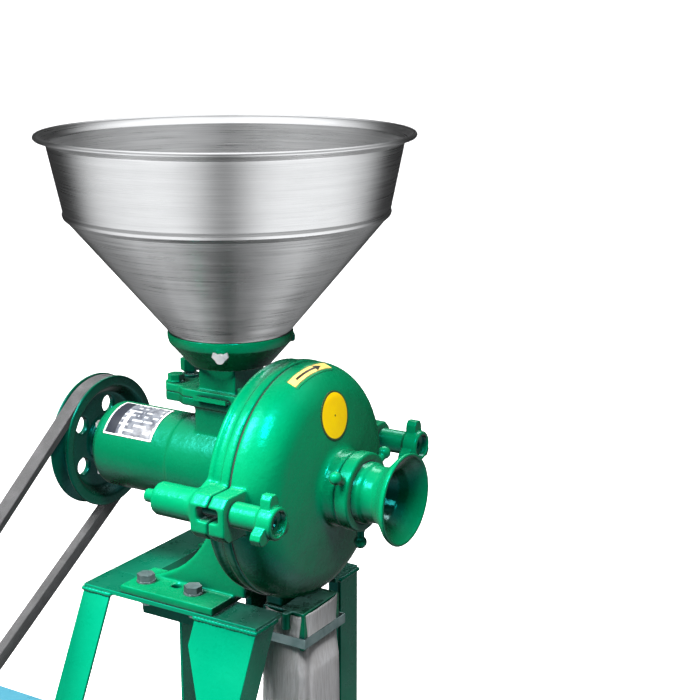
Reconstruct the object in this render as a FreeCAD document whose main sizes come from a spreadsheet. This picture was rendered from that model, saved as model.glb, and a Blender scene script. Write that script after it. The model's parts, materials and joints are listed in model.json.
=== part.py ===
import FreeCAD
import Part
import Sketcher
import math
import os
from FreeCAD import Placement, Rotation, Vector

# Belt-driven grain mill on an angle-iron stand. Millimetres. The origin is on the floor, midway between the
# four anchor holes. +X points along the mill shaft to the bran outlet, +Y to the rear legs, +Z up.
SIZES = {
    # stand
    "frame_len": 213, "frame_front": 24, "frame_rear": 211, "frame_top": 480,
    "rail_w": 44, "rail_t": 5, "web_drop": 32, "leg_w": 34, "leg_t": 4, "front_reach": 211,
    "foot_side": 80, "foot_t": 6, "anchor_x": 132.5, "anchor_y": 237, "anchor_d": 11,
    "brace_z": 115, "brace_w": 30,
    # mill position: the seam between rear casing and cover, on the shaft axis
    "mill_x": 94.5, "mill_y": 117, "shaft_z": 601, "hopper_x": -78,
    # casing and cover
    "casing_bore": 109, "casing_od": 117.5, "back_x": -28, "wall_t": 10, "cover_od": 117, "face_x": 36,
    "face_r": 46, "cover_t": 7, "cover_round": 36, "boss_r": 37, "boss_x": 64,
    "stud_y": 132, "stud_lift": 8, "stud_d": 12,
    # housing and rotor
    "tube_r": 44.5, "chamber_r": 46.5, "chamber_x": -129, "cap_x": -225, "bearing_od": 62, "bearing_id": 30,
    "bearing_w": 16, "thread_r": 30, "shaft_d": 24,
    # belt drive: 17 x 11 mm belt section
    "pulley_x": -248, "pulley_w": 24, "mill_pulley_d": 140, "motor_pulley_d": 100,
    "belt_w": 17, "belt_h": 11, "belt_sink": 1.5, "belt_run": 344, "belt_drop": 241,
    # motor, shaft height 80
    "motor_h": 80, "motor_foot_y": 125, "motor_shaft_d": 19, "motor_r": 69,
    # feed
    "rim_r": 175, "rim_z": 330, "knee_r": 157, "knee_z": 259, "seat_z": 135, "sheet_t": 1.2,
}
RUNNING = 0.05      # radial clearance of a running fit
GROOVE_SLOPE = 0.3057   # half width lost per mm of depth in a 34 degree V-groove

doc = FreeCAD.newDocument("grain_mill")
nodes = []


class Size:
    """A number together with the spreadsheet formula that gives it."""

    def __init__(self, value, text):
        self.value = float(value)
        self.text = text

    def __add__(self, other):
        return Size(self.value + number(other), f"({self.text} + {formula(other)})")

    def __sub__(self, other):
        return Size(self.value - number(other), f"({self.text} - {formula(other)})")

    def __mul__(self, other):
        return Size(self.value * number(other), f"({self.text} * {formula(other)})")

    def __truediv__(self, other):
        return Size(self.value / number(other), f"({self.text} / {formula(other)})")

    def __rsub__(self, other):
        return Size(number(other) - self.value, f"({formula(other)} - {self.text})")

    def __neg__(self):
        return Size(-self.value, f"(0 - {self.text})")

    __radd__ = __add__
    __rmul__ = __mul__


def number(item):
    return item.value if isinstance(item, Size) else float(item)


def formula(item):
    return item.text if isinstance(item, Size) else f"({float(item):.6f})"


def make_sheet():
    """Writes the driving sizes and returns them as an object with one attribute per size."""
    sheet = doc.addObject("Spreadsheet::Sheet", "Sizes")
    for row, (name, value) in enumerate(SIZES.items(), 1):
        sheet.set(f"A{row}", name)
        sheet.set(f"B{row}", str(value))
        sheet.setAlias(f"B{row}", name)
    doc.recompute()
    table = type("Table", (), {})()
    for name, value in SIZES.items():
        setattr(table, name, Size(value, f"Sizes.{name}"))
    return table


S = make_sheet()
FLOOR = (0, 0, 0)
MILL = (S.mill_x, S.mill_y, S.shaft_z)
FEED = (S.mill_x + S.hopper_x, S.mill_y, S.shaft_z)
MILL_PULLEY = (S.mill_x + S.pulley_x, S.mill_y, S.shaft_z)
MOTOR = (S.mill_x + S.pulley_x, S.mill_y - S.belt_run, S.shaft_z - S.belt_drop)


def shifted(origin, x=0, y=0, z=0):
    return (origin[0] + x, origin[1] + y, origin[2] + z)


def place(obj, origin, rotation=None):
    obj.Placement = Placement(Vector(*[number(c) for c in origin]), rotation or Rotation())
    for axis, item in zip("xyz", origin):
        if isinstance(item, Size):
            obj.setExpression(f"Placement.Base.{axis}", item.text)


def keep(obj, label):
    """Makes an object a finished sub-part."""
    obj.Label = label
    nodes.append(obj)
    return obj


# ---------------------------------------------------------------- PartDesign helpers
def body(name, origin):
    made = doc.addObject("PartDesign::Body", "body_" + name)
    place(made, origin)
    return made


def sketch(owner, plane, loops, offset=0):
    """A sketch of closed loops. A loop is a list of corners, or ("circle", u, v, radius)."""
    made = owner.newObject("Sketcher::SketchObject", owner.Name + "_sketch")
    support = [item for item in owner.Origin.OriginFeatures if item.Role == plane + "_Plane"]
    made.AttachmentSupport = [(support[0], "")]
    made.MapMode = "FlatFace"
    made.AttachmentOffset = Placement(Vector(0, 0, number(offset)), Rotation())
    if isinstance(offset, Size):
        made.setExpression("AttachmentOffset.Base.z", offset.text)
    for loop in loops:
        if loop[0] == "circle":
            add_circle(made, *loop[1:])
        else:
            add_polygon(made, loop)
    return made


def pin_point(made, geometry, spot, u, v):
    for kind, item in (("DistanceX", u), ("DistanceY", v)):
        index = made.addConstraint(Sketcher.Constraint(kind, -1, 1, geometry, spot, number(item)))
        if isinstance(item, Size):
            made.setExpression(f"Constraints[{index}]", item.text)


def add_circle(made, u, v, radius):
    circle = Part.Circle(Vector(number(u), number(v), 0), Vector(0, 0, 1), number(radius))
    geometry = made.addGeometry(circle)
    pin_point(made, geometry, 3, u, v)
    index = made.addConstraint(Sketcher.Constraint("Radius", geometry, number(radius)))
    if isinstance(radius, Size):
        made.setExpression(f"Constraints[{index}]", radius.text)


def add_polygon(made, corners):
    points = [Vector(number(u), number(v), 0) for u, v in corners]
    lines = []
    for start, end in zip(points, points[1:] + points[:1]):
        lines.append(made.addGeometry(Part.LineSegment(start, end)))
    for line, following in zip(lines, lines[1:] + lines[:1]):
        made.addConstraint(Sketcher.Constraint("Coincident", line, 2, following, 1))
    for line, (u, v) in zip(lines, corners):
        pin_point(made, line, 1, u, v)


def feature(owner, kind, profile):
    made = owner.newObject("PartDesign::" + kind, f"{owner.Name}_{kind}")
    made.Profile = profile
    return made


def pad(owner, plane, loops, start, length):
    made = feature(owner, "Pad", sketch(owner, plane, loops, start))
    made.Length = number(length)
    if isinstance(length, Size):
        made.setExpression("Length", length.text)
    return made


def pocket(owner, plane, loops, start, depth):
    """Cuts from a plane back against its normal, and checks that something was cut."""
    doc.recompute()
    before = owner.Shape.Volume
    made = feature(owner, "Pocket", sketch(owner, plane, loops, start))
    made.Length = number(depth)
    if isinstance(depth, Size):
        made.setExpression("Length", depth.text)
    doc.recompute()
    if owner.Shape.Volume > before - 0.01:
        raise RuntimeError(f"{owner.Name}: a pocket cut nothing")
    return made


def revolve(owner, corners, axis="H", cut=False, angle=360):
    profile = sketch(owner, "XZ", [corners])
    made = feature(owner, "Groove" if cut else "Revolution", profile)
    made.ReferenceAxis = (profile, [axis + "_Axis"])
    made.Angle = angle
    return made


def repeat(owner, made, count, role="X"):
    pattern = owner.newObject("PartDesign::PolarPattern", owner.Name + "_pattern")
    pattern.Originals = [made]
    axis = [item for item in owner.Origin.OriginFeatures if item.Role == role + "_Axis"]
    pattern.Axis = (axis[0], [""])
    pattern.Angle = 360
    pattern.Occurrences = count
    owner.Tip = pattern
    return pattern


def round_off(owner, radius, chosen):
    """Fillets the edges of a body for which chosen(edge) is true."""
    doc.recompute()
    tip = owner.Tip
    names = [f"Edge{i}" for i, edge in enumerate(tip.Shape.Edges, 1) if chosen(edge)]
    made = owner.newObject("PartDesign::Fillet", owner.Name + "_fillet")
    made.Base = (tip, names)
    made.Radius = number(radius)
    if isinstance(radius, Size):
        made.setExpression("Radius", radius.text)
    owner.Tip = made
    return made


def ring_edge(*wanted):
    """A test for full circles about the local X axis, given as (x, radius) pairs."""

    def test(edge):
        curve = edge.Curve
        if not isinstance(curve, Part.Circle) or abs(abs(curve.Axis.x) - 1) > 1e-6:
            return False
        centre = curve.Center
        if math.hypot(centre.y, centre.z) > 1e-4:
            return False
        return any(abs(centre.x - number(x)) < 0.05 and abs(curve.Radius - number(r)) < 0.05
                   for x, r in wanted)

    return test


def turned(label, origin, corners, axis="H"):
    made = body(label, origin)
    revolve(made, corners, axis)
    return keep(made, label)


def ring(x0, x1, outer, inner):
    return [(x0, inner), (x1, inner), (x1, outer), (x0, outer)]


def box_loop(u0, u1, v0, v1):
    return [(u0, v0), (u1, v0), (u1, v1), (u0, v1)]


def star_loop(count, radius, turn=0):
    """Corners of a regular polygon."""
    angles = [math.radians(turn + 360 * i / count) for i in range(count)]
    return [(radius * math.cos(a), radius * math.sin(a)) for a in angles]


def hexagon(across_flats, turn=30):
    return star_loop(6, across_flats / math.sqrt(3), turn)


def circle(u, v, radius):
    return ("circle", u, v, radius)


# ---------------------------------------------------------------- Part helpers
TURN = {"X": Rotation(Vector(0, 1, 0), 90), "Y": Rotation(Vector(1, 0, 0), -90), "Z": Rotation()}


def cylinder(radius, length, base, axis="Z", rotation=None):
    made = doc.addObject("Part::Cylinder", "cylinder")
    for name, item in (("Radius", radius), ("Height", length)):
        setattr(made, name, number(item))
        if isinstance(item, Size):
            made.setExpression(name, item.text)
    place(made, base, rotation or TURN[axis])
    return made


def cuboid(sizes, corner, rotation=None):
    made = doc.addObject("Part::Box", "cuboid")
    for name, item in zip(("Length", "Width", "Height"), sizes):
        setattr(made, name, number(item))
        if isinstance(item, Size):
            made.setExpression(name, item.text)
    place(made, corner, rotation)
    return made


def combine(kind, first, others):
    """kind is MultiFuse or Cut."""
    if kind == "MultiFuse":
        made = doc.addObject("Part::MultiFuse", "fuse")
        made.Shapes = [first] + others
        return made
    made = doc.addObject("Part::Cut", "cut")
    made.Base = first
    made.Tool = others[0] if len(others) == 1 else combine("MultiFuse", others[0], others[1:])
    return made


def linked(source, places):
    """Copies of one piece. places holds (origin, rotation) pairs."""
    links = []
    for origin, rotation in places:
        link = doc.addObject("App::Link", source.Name + "_copy")
        link.LinkedObject = source
        place(link, origin, rotation)
        links.append(link)
    return links


def group(label, parts):
    """Separate pieces kept as one sub-part."""
    made = doc.addObject("Part::Compound", "group_" + label)
    made.Links = parts
    return keep(made, label)


def copies(label, source, places):
    return group(label, linked(source, places))


# ---------------------------------------------------------------- stand
HALF_LEN = S.frame_len / 2
UNDER_RAIL = S.frame_top - S.rail_t
LEG_LENGTH = UNDER_RAIL - S.foot_t
INNER_END = HALF_LEN - S.rail_w


def make_long_rail(label, outer_y, side, bolt_holes):
    """Angle iron along X: flange on top, web down at its inner edge, with the casing foot's bolt holes."""
    inner_y = outer_y + side * S.rail_w
    made = body(label, FLOOR)
    pad(made, "XY", [box_loop(-HALF_LEN, HALF_LEN, outer_y, inner_y)], UNDER_RAIL, S.rail_t)
    web = box_loop(-INNER_END, HALF_LEN - S.leg_w - 6, inner_y - side * S.rail_t, inner_y)
    pad(made, "XY", [web], UNDER_RAIL - S.web_drop, S.web_drop)
    holes = [circle(x, y, 5.5) for x, y in bolt_holes]
    pocket(made, "XY", holes, S.frame_top + 1, S.rail_t + 2)
    return keep(made, label)


FOOT_BOLTS_X = (S.mill_x - 138, S.mill_x - 79)
FOOT_BOLT_Y = 70
make_long_rail("frame_rail_front", S.frame_front, 1, [(x, S.mill_y - FOOT_BOLT_Y) for x in FOOT_BOLTS_X])
make_long_rail("frame_rail_rear", S.frame_rear, -1, [(x, S.mill_y + FOOT_BOLT_Y) for x in FOOT_BOLTS_X])


def make_left_rail():
    made = body("left_rail", FLOOR)
    across = (S.frame_front + S.rail_w, S.frame_rear - S.rail_w)
    pad(made, "XY", [box_loop(-HALF_LEN, -INNER_END, *across)], UNDER_RAIL, S.rail_t)
    web = box_loop(-INNER_END - S.rail_t, -INNER_END, *across)
    pad(made, "XY", [web], UNDER_RAIL - S.web_drop, S.web_drop)
    keep(made, "frame_rail_left")


def slant(made, lean):
    """Makes a pad rise at a slope in Y instead of straight up."""
    made.UseCustomVector = True
    made.Direction = Vector(0, lean.value, 1)
    made.setExpression("Direction.y", lean.text)
    made.AlongSketchNormal = True


GUSSET_H = 90       # the front right leg's gusset: height, width and depth of its outer edge
GUSSET_W = 38
GUSSET_EDGE = 25


def make_leg(label, side_x, corner_y, side_y, lean, gusset=False):
    """Angle-iron leg with its corner outward. lean is how far it moves in Y per mm of height."""
    made = body(label, FLOOR)
    x0 = side_x * HALF_LEN
    x1 = x0 - side_x * S.leg_w
    xt = x0 - side_x * S.leg_t
    y1 = corner_y - side_y * S.leg_w
    yt = corner_y - side_y * S.leg_t
    section = [(x0, corner_y), (x1, corner_y), (x1, yt), (xt, yt), (xt, y1), (x0, y1)]
    slant(pad(made, "XY", [section], S.foot_t, LEG_LENGTH), lean)
    if gusset:
        doc.recompute()
        low = corner_y + lean * (LEG_LENGTH - GUSSET_H)
        corner = x1 - side_x * GUSSET_W
        top = S.foot_t + LEG_LENGTH
        web = pad(made, "XY", [box_loop(corner, x1, low, low + S.leg_t)], top - GUSSET_H, GUSSET_H)
        slant(web, lean)
        below = [(corner, top - GUSSET_H), (x1, top - GUSSET_H), (corner, top - GUSSET_EDGE)]
        pocket(made, "XZ", [below], 60 - S.frame_front, 200)
    return keep(made, label)


LEAN = (S.frame_front + S.front_reach) / LEG_LENGTH
UPRIGHT = LEAN * 0
make_left_rail()
make_leg("leg_front_left", -1, -S.front_reach, -1, LEAN)
make_leg("leg_front_right", 1, -S.front_reach, -1, LEAN, gusset=True)
make_leg("leg_rear_left", -1, S.frame_rear, 1, UPRIGHT)
make_leg("leg_rear_right", 1, S.frame_rear, 1, UPRIGHT)


def make_foot_plates():
    half = S.foot_side / 2
    source = body("foot_plate", FLOOR)
    pad(source, "XY", [box_loop(-half, half, -half, half), circle(14, 22, S.anchor_d / 2)], 0, S.foot_t)
    places = []
    for side_x, side_y, turn in ((1, 1, 0), (-1, 1, 90), (-1, -1, 180), (1, -1, 270)):
        inset_x, inset_y = (14, 22) if turn in (0, 180) else (22, 14)
        origin = (side_x * (S.anchor_x - inset_x), side_y * (S.anchor_y - inset_y), 0)
        places.append((origin, Rotation(Vector(0, 0, 1), turn)))
    copies("foot_plates", source, places)


def leg_y(height):
    """Outer face of the front legs at a height."""
    return LEAN * (height - S.foot_t) - S.front_reach


def make_braces():
    inside = HALF_LEN - S.leg_t
    front = leg_y(S.brace_z + S.brace_w) + 12
    rear = S.frame_rear - S.leg_t - 5
    length = rear - front
    bars = [cuboid((S.leg_t, length, S.brace_w), (x, front, S.brace_z)) for x in (-inside, inside - S.leg_t)]
    bars.append(cuboid((inside * 2, 5, S.brace_w), (-inside, rear, S.brace_z)))
    group("leg_braces", bars)


SHELF_TOP = S.shaft_z - S.belt_drop - S.motor_h
SHELF_T = 6
SHELF_FRONT = S.mill_y - S.belt_run - 92
MOTOR_BOLTS_X = (S.pulley_x + S.mill_x + 72, S.pulley_x + S.mill_x + 172)


def make_motor_shelf():
    """Two bars and two struts outside the front legs, carrying a slotted plate for the motor."""
    bar_h = 30
    under = SHELF_TOP - SHELF_T
    rear = leg_y(under) + 40
    bar = cuboid((5, rear - SHELF_FRONT, bar_h), (0, 0, 0))
    sides = (-HALF_LEN - 5, HALF_LEN)
    copies("motor_bars", bar, [((x, SHELF_FRONT, under - bar_h), None) for x in sides])

    low = leg_y(90) + 2
    strut = body("strut", FLOOR)
    top = under - bar_h
    outline = [(SHELF_FRONT + 6, top), (SHELF_FRONT + 42, top), (low + 34, 96), (low + 4, 82)]
    pad(strut, "YZ", [outline], 0, 5)
    copies("motor_struts", strut, [((x, 0, 0), None) for x in sides])

    plate = body("motor_plate", FLOOR)
    edge_y = leg_y(SHELF_TOP) - 4
    pad(plate, "XY", [box_loop(-HALF_LEN - 5, HALF_LEN + 5, SHELF_FRONT, edge_y)], under, SHELF_T)
    slots = []
    for x in MOTOR_BOLTS_X:
        for side in (-1, 1):
            mid = S.mill_y - S.belt_run + side * S.motor_foot_y / 2
            slots.append(box_loop(x - 5, x + 5, mid - 18, mid + 18))
    pocket(plate, "XY", slots, SHELF_TOP + 1, SHELF_T + 2)
    keep(plate, "motor_plate")


make_foot_plates()
make_braces()
make_motor_shelf()


# ---------------------------------------------------------------- rear casing
STUD_Z = S.stud_lift
SEAM_GAP = 0.6


def lug_loops(side, stud_hole):
    """Outline in YZ of a closing lug at one side of the casing."""
    outer = side * (S.stud_y + 17)
    inner = side * (S.casing_bore + 1)
    bevel = outer - side * 8
    return [[(inner, -18), (bevel, -18), (outer, -10), (outer, 17), (bevel, 25), (inner, 25)],
            circle(side * S.stud_y, STUD_Z, stud_hole)]


def lug_slot(side):
    """Outline of the slot across a lug's end."""
    return box_loop(*sorted((side * 126, side * 160)), 1.5, 14.5)


def pedestal_web():
    """Outline in XZ of a pedestal web: a concave rear edge, and a lower edge 1 mm inside the foot plate."""
    centre_x, centre_z, radius = -170, -6, 110.6
    first, last, steps = -75.3, -12.5, 8
    arc = []
    for i in range(steps + 1):
        a = math.radians(first + (last - first) * i / steps)
        arc.append((centre_x + radius * math.cos(a), centre_z + radius * math.sin(a)))
    return [(-30, -60), (-27, -60), (-27, -114), (arc[0][0], -114)] + arc + [(-30, -22)]


def make_rear_casing():
    made = body("rear_casing", MILL)
    back = S.back_x
    step = S.casing_od - 3.5
    edge = S.casing_od - 1.5
    revolve(made, [
        (back, 36), (back + S.wall_t, 36), (back + S.wall_t, S.casing_bore), (-SEAM_GAP, S.casing_bore),
        (-SEAM_GAP, S.casing_od), (-10, S.casing_od), (-11.5, step), (-20, step), (-21.5, edge),
        (back + 3, edge), (back, edge - 3),
    ])
    for side in (-1, 1):
        boss_y = side * S.stud_y
        pad(made, "YZ", lug_loops(side, S.stud_d / 2), -20, 20 - SEAM_GAP)
        pad(made, "YZ", [circle(boss_y, STUD_Z, 16), circle(boss_y, STUD_Z, S.stud_d / 2)], -66, 46)
        arm = [(side * 96, -4), (side * 124, -4), (side * 124, 22), (side * 96, 34)]
        pad(made, "YZ", [arm], back, 8.5)
        pad(made, "XZ", [pedestal_web()], 50 * -side - 6, 12)
        pad(made, "XY", [box_loop(-155, -40, *sorted((side * 37, side * 92)))], -121, 8)
    # apron between the pedestals, down past the rails
    pad(made, "YZ", [box_loop(-46, 46, -150, -70)], -34, 6.5)
    doc.recompute()
    for side in (-1, 1):
        pocket(made, "YZ", [lug_slot(side)], -SEAM_GAP + 0.1, 12)
        holes = [circle(x - S.mill_x, side * FOOT_BOLT_Y, 5.25) for x in FOOT_BOLTS_X]
        holes.append(circle(-104, side * 64, 5))
        pocket(made, "XY", holes, -112, 10)
    revolve(made, ring(S.back_x - 8.5, S.back_x, 76.4, S.chamber_r + 0.2), cut=True)
    pad(made, "XY", [box_loop(-20, -1, -30, 30)], -126, 22)
    pocket(made, "XY", [box_loop(-17, -3.5, -24, 24)], -100, 30)
    screw_holes = [circle(66 * math.cos(a), 66 * math.sin(a), 4.2) for a in SCREW_ANGLES]
    pocket(made, "YZ", screw_holes, S.back_x + S.wall_t + 1, 12)
    keep(made, "rear_casing")


def make_foot_bolts():
    """Hex bolt, washer and nut clamping a casing foot to its rail. The local origin is on top of the foot."""
    made = body("foot_bolt", FLOOR)
    grip = 8 + S.rail_t
    pad(made, "XY", [circle(0, 0, 9.5)], 0, 1.6)
    pad(made, "XY", [hexagon(16)], 1.6, 6.4)
    pad(made, "XY", [circle(0, 0, 5)], -grip - 12, grip + 12)
    pad(made, "XY", [hexagon(16)], -grip - 8, 8)
    top = S.frame_top + 8
    places = []
    for x in FOOT_BOLTS_X:
        for side in (-1, 1):
            places.append(((x, S.mill_y + side * FOOT_BOLT_Y, top), None))
    copies("foot_bolts", made, places)


# ---------------------------------------------------------------- shaft housing with feed chamber
FLANGE_EDGE = ((-72, 14), (-64, 24), (-48, 24), (-38, 31), (42, 31))    # rear half, from the throat's centre


def throat_flange(mid=0):
    """Outline in XY of the flanges above and below the feed gate."""
    rear = [(mid + x, y) for x, y in FLANGE_EDGE]
    front = [(mid + x, -y) for x, y in reversed(FLANGE_EDGE)]
    return rear + front


def make_shaft_housing():
    """Casting that carries both bearings, with the feed chamber and its square neck at the casing end."""
    made = body("shaft_housing", MILL)
    back = S.back_x
    seat = S.bearing_od / 2
    revolve(made, [
        (S.cap_x, seat), (-201, seat), (-201, 27), (-150, 27), (-150, seat), (-134, seat), (-134, 20),
        (-122, 20), (-122, 34), (back, 34), (back + 10, 34), (back + 10, 36), (back, 36), (back, 76),
        (back - 8, 76), (back - 8, S.chamber_r), (-62, S.chamber_r), (-64, 48.5), (-68, 48.5),
        (-70, S.chamber_r),
        (S.chamber_x, S.chamber_r), (S.chamber_x - 2, S.tube_r), (S.cap_x + 2, S.tube_r), (S.cap_x, 42.5),
    ])
    mid = S.hopper_x
    pad(made, "XY", [box_loop(mid - 26, mid + 26, -28, 28)], 30, 36)
    pad(made, "XY", [throat_flange(mid)], 65, 9)
    doc.recompute()
    pocket(made, "XY", [box_loop(mid - 18, mid + 18, -20, 20)], 75, 75)
    holes = [circle(mid + x, y, 4.2) for x, y in FLANGE_BOLTS]
    pocket(made, "XY", holes, 75, 11)
    screw_holes = [circle(66 * math.cos(a), 66 * math.sin(a), 4.2) for a in SCREW_ANGLES]
    pocket(made, "YZ", screw_holes, back + 1, 10)
    pocket(made, "YZ", [circle(u, v, 3) for u, v in CAP_SCREWS], -214, 12)
    keep(made, "shaft_housing")


FLANGE_BOLTS = ((-60, -12), (-60, 12), (34, -23), (34, 23))
SCREW_ANGLES = [math.radians(45 + 90 * i) for i in range(4)]
CAP_SCREWS = [(35.8 * math.cos(a), 35.8 * math.sin(a)) for a in SCREW_ANGLES]
make_rear_casing()
make_foot_bolts()
make_shaft_housing()


def make_screws(label, length, head_af, head_h, shank, spots, normal):
    """Hex screws along the mill axis, heads at +X. spots are (x, y, z) of the head's underside."""
    made = body(label, FLOOR)
    pad(made, "YZ", [hexagon(head_af)], 0, head_h)
    pad(made, "YZ", [circle(0, 0, shank)], -length, length)
    turn = None if normal > 0 else Rotation(Vector(0, 0, 1), 180)
    copies(label, made, [(shifted(MILL, *spot), turn) for spot in spots])


def make_housing_parts():
    spots = [(S.back_x + S.wall_t, 66 * math.cos(a), 66 * math.sin(a)) for a in SCREW_ANGLES]
    make_screws("housing_screws", 18, 13, 5, 4, spots, 1)
    cap = body("bearing_cap", MILL)
    seat = S.bearing_od / 2
    revolve(cap, [(S.cap_x - 4, 15.4), (-217.2, 15.4), (-217.2, 19), (-219, 23), (-219, 27), (-217.2, 27),
                  (-217.2, seat), (S.cap_x, seat), (S.cap_x, 41), (S.cap_x - 2.5, 41), (S.cap_x - 4, 39.5)])
    doc.recompute()
    pocket(cap, "YZ", [circle(u, v, 3) for u, v in CAP_SCREWS], S.cap_x + 1, 6)
    keep(cap, "bearing_cap")
    make_screws("cap_screws", 14, 8, 3, 2.9, [(S.cap_x - 4, u, v) for u, v in CAP_SCREWS], -1)


def make_bearings():
    """Two deep-groove ball bearings, 30 x 62 x 16, on the same shaft."""
    inner = S.bearing_id / 2
    outer = S.bearing_od / 2
    pitch = (inner + outer) / 2
    half = S.bearing_w / 2
    starts = (-209, -142)
    track = doc.addObject("Part::Torus", "ball_track")
    track.Radius1 = pitch.value
    track.setExpression("Radius1", pitch.text)
    track.Radius2 = 5
    track.Placement = Placement(Vector(0, 0, 0), TURN["X"])
    groove = 3.2
    for label, low, high in (("bearing_inner_races", inner, pitch - groove),
                             ("bearing_outer_races", pitch + groove, outer)):
        race = body(label, FLOOR)
        revolve(race, ring(-half, half, high, low))
        grooved = combine("Cut", race, [track])
        copies(label, grooved, [(shifted(MILL, x), None) for x in starts])
    balls = []
    for i in range(9):
        angle = 2 * math.pi * i / 9
        ball = doc.addObject("Part::Sphere", "ball")
        ball.Radius = 4.75
        place(ball, (0, pitch * math.cos(angle), pitch * math.sin(angle)))
        balls.append(ball)
    ball_set = doc.addObject("Part::Compound", "ball_set")
    ball_set.Links = balls
    copies("bearing_balls", ball_set, [(shifted(MILL, x), None) for x in starts])
    seal = body("seal", MILL)
    revolve(seal, ring(-133, -126, 19.9, inner + RUNNING))
    keep(seal, "shaft_seal")


# ---------------------------------------------------------------- rotor
def make_rotor():
    shaft_r = S.shaft_d / 2
    journal = S.bearing_id / 2
    turned("main_shaft", MILL, [
        (-276, 0), (26, 0), (26, 10), (-19, 10), (-19, 13), (-121, 13), (-121, journal), (-232, journal),
        (-232, shaft_r), (-262, shaft_r), (-262, 8), (-275, 8), (-276, 7)])

    wheel = body("mill_pulley", MILL_PULLEY)
    rim = S.mill_pulley_d / 2
    half = S.pulley_w / 2
    top = rim - S.belt_sink
    revolve(wheel, [
        (-14, shaft_r), (16, shaft_r), (16, 20), (-1, 24), (-1, 51), (half - 3, 57), (half, 60),
        (half, rim - 1), (half - 1, rim)] + groove_corners(rim, top, half) + [
        (1 - half, rim), (-half, rim - 1), (-half, 60), (3 - half, 57), (-8, 51), (-8, 24), (-14, 21)])
    hole = pocket(wheel, "YZ", [circle(38, 0, 9)], 0, 20)
    repeat(wheel, hole, 5)
    doc.recompute()
    pocket(wheel, "YZ", [box_loop(-3, 3, 11, 15)], 17, 32)
    keep(wheel, "mill_pulley")
    key = cuboid((26, 6, 2.8), shifted(MILL_PULLEY, -12, -3, shaft_r))
    keep(key, "mill_pulley_key")

    nut = body("mill_pulley_nut", MILL_PULLEY)
    pad(nut, "YZ", [circle(0, 0, 15), circle(0, 0, 8)], -16.5, 2.5)
    pad(nut, "YZ", [hexagon(24), circle(0, 0, 8)], -27, 10.5)
    keep(nut, "mill_pulley_nut")

    make_auger()
    burr = body("moving_burr", MILL)
    revolve(burr, [(-16, 10), (4, 10), (4, 49), (-16, 33)])
    doc.recompute()
    slot = pocket(burr, "YZ", [[(-1.5, 29), (1.5, 29), (4.5, 52), (1.5, 52)]], 4.1, 22)
    repeat(burr, slot, 12)
    keep(burr, "moving_burr")

    fan = body("beater_wheel", MILL)
    revolve(fan, [(4.2, 10), (24, 10), (24, 18), (12, 20), (9.5, 60), (5.5, 60), (4.2, 50)])
    doc.recompute()
    blade = pad(fan, "YZ", [[(-3, 50), (3, 50), (3, 86), (-3, 86)]], 5.5, 20)
    repeat(fan, blade, 6)
    keep(fan, "beater_wheel")


def groove_corners(rim, top, half, gap=0.32):
    """V-groove corners from the +X lip to the -X lip, a little wider than the belt."""
    low = top - S.belt_h - 1.5
    wide = S.belt_w / 2 + (rim - top) * GROOVE_SLOPE + gap
    narrow = S.belt_w / 2 - (S.belt_h + 1.5) * GROOVE_SLOPE + gap
    return [(wide, rim), (narrow, low), (-narrow, low), (-wide, rim)]


def make_auger():
    """Feed screw: a sleeve on the shaft with one helical flight, right up to the burr."""
    length = 92
    pitch = 30
    sleeve = Part.makeCylinder(19, length).cut(Part.makeCylinder(13, length))
    helix = Part.makeLongHelix(pitch, length - 8, 18.5, 0, False)
    corners = [Vector(r, 0, z) for r, z in ((18, -2), (32.5, -1), (32.5, 1), (18, 2), (18, -2))]
    section = Part.makePolygon(corners)
    flight = Part.Wire(helix.Edges).makePipeShell([section], True, True)
    flight.translate(Vector(0, 0, 4))
    flight = flight.common(Part.makeCylinder(32.5, length, Vector(0, 0, 0)))
    made = doc.addObject("Part::Feature", "auger")
    made.Shape = sleeve.fuse(flight)
    place(made, shifted(MILL, -115), TURN["X"])
    keep(made, "feed_auger")


make_housing_parts()
make_bearings()
make_rotor()


# ---------------------------------------------------------------- milling chamber
def make_stationary_parts():
    burr = body("stationary_burr", MILL)
    face = S.back_x + S.wall_t
    revolve(burr, [(face, 34.6), (0, 47.4), (3, 50.5), (3, 56), (face, 56)])
    doc.recompute()
    slot = pocket(burr, "YZ", [[(-1.5, 30), (1.5, 30), (-2.5, 51.5), (-5.5, 51.5)]], 3.1, 25)
    repeat(burr, slot, 12)
    keep(burr, "stationary_burr")

    screen = body("ring_screen", MILL)
    revolve(screen, ring(face, 25, 92.2, 90.6))
    doc.recompute()
    slot = pocket(screen, "XZ", [box_loop(face + 5, 20, 88, 95)], 1.5, 3)
    repeat(screen, slot, 36)
    keep(screen, "ring_screen")

    turned("cover_gasket", MILL, ring(-SEAM_GAP, 0.4, S.casing_od - 2, S.casing_bore + 0.5))

    stud = body("closing_stud", FLOOR)
    revolve(stud, [(-81, 0), (-81, 5), (-80, 6), (57, 6), (58, 5), (58, 0)])
    places = [(shifted(MILL, 0, side * S.stud_y, STUD_Z), None) for side in (-1, 1)]
    copies("closing_studs", stud, places)


# ---------------------------------------------------------------- front cover
def cover_profile(lift=0):
    """Outer outline of the cover from the seam to the boss, moved outward by lift."""
    return [(SEAM_GAP, S.cover_od + lift), (S.face_x + lift, S.cover_od + lift),
            (S.face_x + 10 + lift, S.face_r)]


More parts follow.
